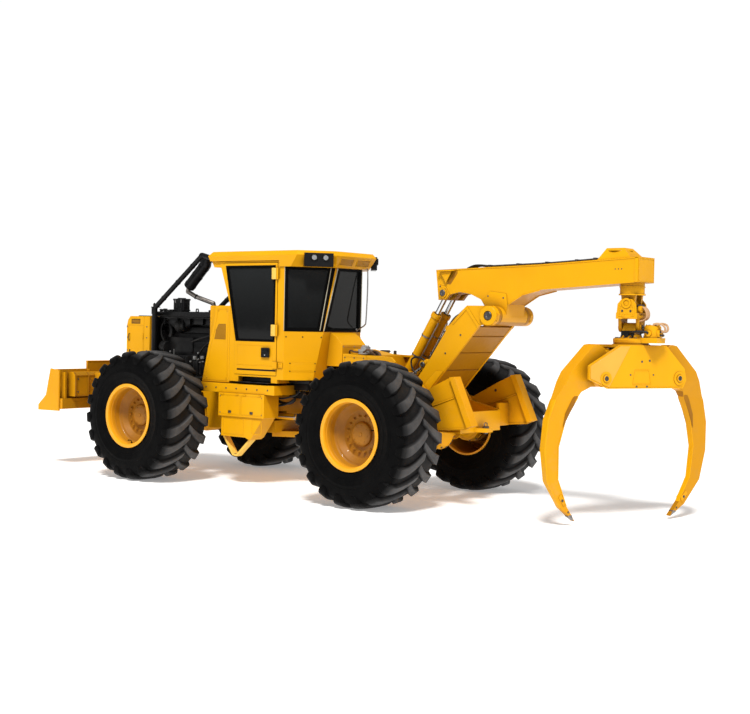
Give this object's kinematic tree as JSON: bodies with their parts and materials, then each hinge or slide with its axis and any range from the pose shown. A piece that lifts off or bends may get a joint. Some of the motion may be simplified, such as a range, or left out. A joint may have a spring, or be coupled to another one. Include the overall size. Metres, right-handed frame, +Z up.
{
  "type": "grapple skidder",
  "caption": "Four-wheel articulated forestry skidder with cab, front blade, rear arch and boom, and a hanging rotating log grapple.",
  "frame": {"origin": "centre of the whole machine's footprint box, on the ground", "axes": "+X forward to the blade, +Y to the machine's left, +Z up"},
  "size_m": [9.6533, 3.254, 3.1579],
  "materials": {
    "yellow_paint": "gloss machine yellow paint",
    "black_paint": "satin black paint",
    "engine_black": "satin black engine paint",
    "exhaust_steel": "heat-dulled steel tube",
    "chrome_rod": "ground hard chrome",
    "tyre_rubber": "black tyre rubber, light dust",
    "rim_yellow": "gloss yellow rim paint",
    "tinted_glass": "dark tinted glass",
    "lamp_black": "black plastic lamp box",
    "seat_cloth": "dark seat cloth",
    "console_plastic": "dark grey plastic"
  },
  "bodies": {
    "front_frame": {"front_frame": "yellow_paint", "front_axle": "yellow_paint", "engine": "engine_black", "engine_hood": "black_paint", "radiator_housing": "yellow_paint", "air_cleaner": "black_paint", "muffler": "black_paint", "exhaust_pipe": "exhaust_steel", "limb_risers": "black_paint", "nose_deck": "yellow_paint", "front_cowl": "yellow_paint", "cab_frame": "yellow_paint", "cab_windows": "tinted_glass", "cab_roof": "yellow_paint", "cab_rear_housing": "yellow_paint", "work_light_boxes": "lamp_black", "operator_seat": "seat_cloth", "control_consoles": "console_plastic", "side_boxes": "yellow_paint", "step_straps": "yellow_paint", "blade_pivots": "yellow_paint"},
    "door": {"door": "yellow_paint", "door_glass": "tinted_glass", "door_handle": "black_paint"},
    "blade": {"blade": "yellow_paint"},
    "blade_barrels": {"blade_cylinder_barrels": "yellow_paint"},
    "blade_rods": {"blade_cylinder_rods": "chrome_rod"},
    "rear_frame": {"rear_frame": "yellow_paint", "rear_rails": "yellow_paint", "arch_cylinder_pins": "yellow_paint", "rear_axle": "yellow_paint", "log_guard": "yellow_paint", "rear_hood": "yellow_paint", "valve_block": "black_paint"},
    "steering_barrel_left": {"steering_barrel_left": "yellow_paint"},
    "steering_barrel_right": {"steering_barrel_right": "yellow_paint"},
    "steering_rod_left": {"steering_rod_left": "chrome_rod"},
    "steering_rod_right": {"steering_rod_right": "chrome_rod"},
    "arch": {"arch": "yellow_paint"},
    "arch_barrels": {"arch_cylinder_barrels": "yellow_paint"},
    "arch_rods": {"arch_cylinder_rods": "chrome_rod"},
    "boom": {"boom": "yellow_paint"},
    "boom_barrels": {"boom_cylinder_barrels": "yellow_paint"},
    "boom_rods": {"boom_cylinder_rods": "chrome_rod"},
    "swing_link": {"swing_link": "yellow_paint"},
    "rotator": {"rotator": "yellow_paint"},
    "grapple_head": {"grapple_head": "yellow_paint"},
    "tong_left": {"tong_left": "yellow_paint"},
    "tong_right": {"tong_right": "yellow_paint"},
    "grapple_barrel": {"grapple_cylinder_barrel": "yellow_paint"},
    "grapple_rod": {"grapple_cylinder_rod": "chrome_rod"},
    "wheel_front_left": {"wheel_front_left": "rim_yellow", "tyre_front_left": "tyre_rubber"},
    "wheel_front_right": {"wheel_front_right": "rim_yellow", "tyre_front_right": "tyre_rubber"},
    "wheel_rear_left": {"wheel_rear_left": "rim_yellow", "tyre_rear_left": "tyre_rubber"},
    "wheel_rear_right": {"wheel_rear_right": "rim_yellow", "tyre_rear_right": "tyre_rubber"}
  },
  "joints": [
    {"name": "articulation", "type": "hinge", "parent": "front_frame", "child": "rear_frame", "pos_m": [0.473, 0, 0.93], "axis": [0, 0, 1], "range_deg": [-42, 42]},
    {"name": "door_hinge", "type": "hinge", "parent": "front_frame", "child": "door", "pos_m": [0.401, 0.822, 2.17], "axis": [0, 0, 1], "range_deg": [0, 95]},
    {"name": "blade_lift", "type": "hinge", "parent": "front_frame", "child": "blade", "pos_m": [2.803, 0, 0.76], "axis": [0, 1, 0], "range_deg": [-6, 24]},
    {"name": "blade_barrel_hinge", "type": "hinge", "parent": "front_frame", "child": "blade_barrels", "pos_m": [3.233, 0, 1.25], "axis": [0, 1, 0], "range_deg": [-7.53, 28.63]},
    {"name": "blade_rod_slide", "type": "slide", "parent": "blade_barrels", "child": "blade_rods", "axis": [0.9545, 0, -0.2983], "range_m": [-0.0674, 0.2638]},
    {"name": "steering_left_barrel_hinge", "type": "hinge", "parent": "front_frame", "child": "steering_barrel_left", "pos_m": [1.093, 0.375, 0.93], "axis": [0, 0, 1], "range_deg": [-15.07, 15.07]},
    {"name": "steering_left_rod_slide", "type": "slide", "parent": "steering_barrel_left", "child": "steering_rod_left", "axis": [-0.9947, -0.1024, 0], "range_m": [-0.2226, 0.2226]},
    {"name": "steering_right_barrel_hinge", "type": "hinge", "parent": "front_frame", "child": "steering_barrel_right", "pos_m": [1.093, -0.375, 0.93], "axis": [0, 0, 1], "range_deg": [-15.07, 15.07]},
    {"name": "steering_right_rod_slide", "type": "slide", "parent": "steering_barrel_right", "child": "steering_rod_right", "axis": [-0.9947, 0.1024, 0], "range_m": [-0.2226, 0.2226]},
    {"name": "arch_lift", "type": "hinge", "parent": "rear_frame", "child": "arch", "pos_m": [-1.557, 0, 1.33], "axis": [0, 1, 0], "range_deg": [-6, 32]},
    {"name": "arch_barrel_hinge", "type": "hinge", "parent": "rear_frame", "child": "arch_barrels", "pos_m": [-0.647, 0, 1.09], "axis": [0, 1, 0], "range_deg": [-1.78, 7.35]},
    {"name": "arch_rod_slide", "type": "slide", "parent": "arch_barrels", "child": "arch_rods", "axis": [-0.8508, 0, 0.5255], "range_m": [-0.1802, 0.0354]},
    {"name": "boom_lift", "type": "hinge", "parent": "arch", "child": "boom", "pos_m": [-2.635, 0, 2.34], "axis": [0, 1, 0], "range_deg": [-18, 13]},
    {"name": "boom_barrel_hinge", "type": "hinge", "parent": "arch", "child": "boom_barrels", "pos_m": [-1.112, 0, 1.42], "axis": [0, 1, 0], "range_deg": [-1.92, 2.46]},
    {"name": "boom_rod_slide", "type": "slide", "parent": "boom_barrels", "child": "boom_rods", "axis": [-0.5107, 0, 0.8598], "range_m": [-0.1912, 0.264]},
    {"name": "grapple_swing", "type": "hinge", "parent": "boom", "child": "swing_link", "pos_m": [-4.307, 0, 2.5], "axis": [0, -1, 0], "range_deg": [-25, 25]},
    {"name": "grapple_tilt", "type": "hinge", "parent": "swing_link", "child": "rotator", "pos_m": [-4.307, 0, 2.235], "axis": [1, 0, 0], "range_deg": [-20, 20]},
    {"name": "grapple_rotate", "type": "hinge", "parent": "rotator", "child": "grapple_head", "pos_m": [-4.307, 0, 2.035], "axis": [0, 0, 1], "continuous": true},
    {"name": "tong_left_hinge", "type": "hinge", "parent": "grapple_head", "child": "tong_left", "pos_m": [-4.09143, 0.48418, 1.66], "axis": [0.9135, -0.4067, 0], "range_deg": [-22, 28]},
    {"name": "tong_right_hinge", "type": "hinge", "parent": "grapple_head", "child": "tong_right", "pos_m": [-4.52257, -0.48418, 1.66], "axis": [0.9135, -0.4067, 0], "range_deg": [-28.5, 22.5]},
    {"name": "grapple_barrel_hinge", "type": "hinge", "parent": "tong_left", "child": "grapple_barrel", "pos_m": [-4.11583, 0.42937, 1.925], "axis": [0.9135, -0.4067, 0], "range_deg": [-28.5, 22.5]},
    {"name": "grapple_rod_slide", "type": "slide", "parent": "grapple_barrel", "child": "grapple_rod", "axis": [-0.4067, -0.9135, 0], "range_m": [-0.2495, 0.1965]},
    {"name": "wheel_front_left_spin", "type": "hinge", "parent": "front_frame", "child": "wheel_front_left", "pos_m": [2.416, 1.239, 0.889], "axis": [0, 1, 0], "continuous": true},
    {"name": "wheel_front_right_spin", "type": "hinge", "parent": "front_frame", "child": "wheel_front_right", "pos_m": [2.416, -1.239, 0.889], "axis": [0, 1, 0], "continuous": true},
    {"name": "wheel_rear_left_spin", "type": "hinge", "parent": "rear_frame", "child": "wheel_rear_left", "pos_m": [-1.47, 1.239, 0.889], "axis": [0, 1, 0], "continuous": true},
    {"name": "wheel_rear_right_spin", "type": "hinge", "parent": "rear_frame", "child": "wheel_rear_right", "pos_m": [-1.47, -1.239, 0.889], "axis": [0, 1, 0], "continuous": true}
  ],
  "couplings": [
    {"joint": "blade_barrel_hinge", "follows": "blade_lift", "ratio": 1.172},
    {"joint": "blade_rod_slide", "follows": "blade_lift", "m_per_rad": 0.625},
    {"joint": "steering_left_barrel_hinge", "follows": "articulation", "ratio": 0.347},
    {"joint": "steering_left_rod_slide", "follows": "articulation", "m_per_rad": 0.301},
    {"joint": "steering_right_barrel_hinge", "follows": "articulation", "ratio": 0.347},
    {"joint": "steering_right_rod_slide", "follows": "articulation", "m_per_rad": -0.301},
    {"joint": "arch_barrel_hinge", "follows": "arch_lift", "ratio": 0.214},
    {"joint": "arch_rod_slide", "follows": "arch_lift", "m_per_rad": -0.319},
    {"joint": "boom_barrel_hinge", "follows": "boom_lift", "ratio": -0.109},
    {"joint": "boom_rod_slide", "follows": "boom_lift", "m_per_rad": -0.834},
    {"joint": "tong_right_hinge", "follows": "tong_left_hinge", "ratio": -1},
    {"joint": "grapple_barrel_hinge", "follows": "tong_left_hinge", "ratio": -1},
    {"joint": "grapple_rod_slide", "follows": "tong_left_hinge", "m_per_rad": -0.5065}
  ]
}
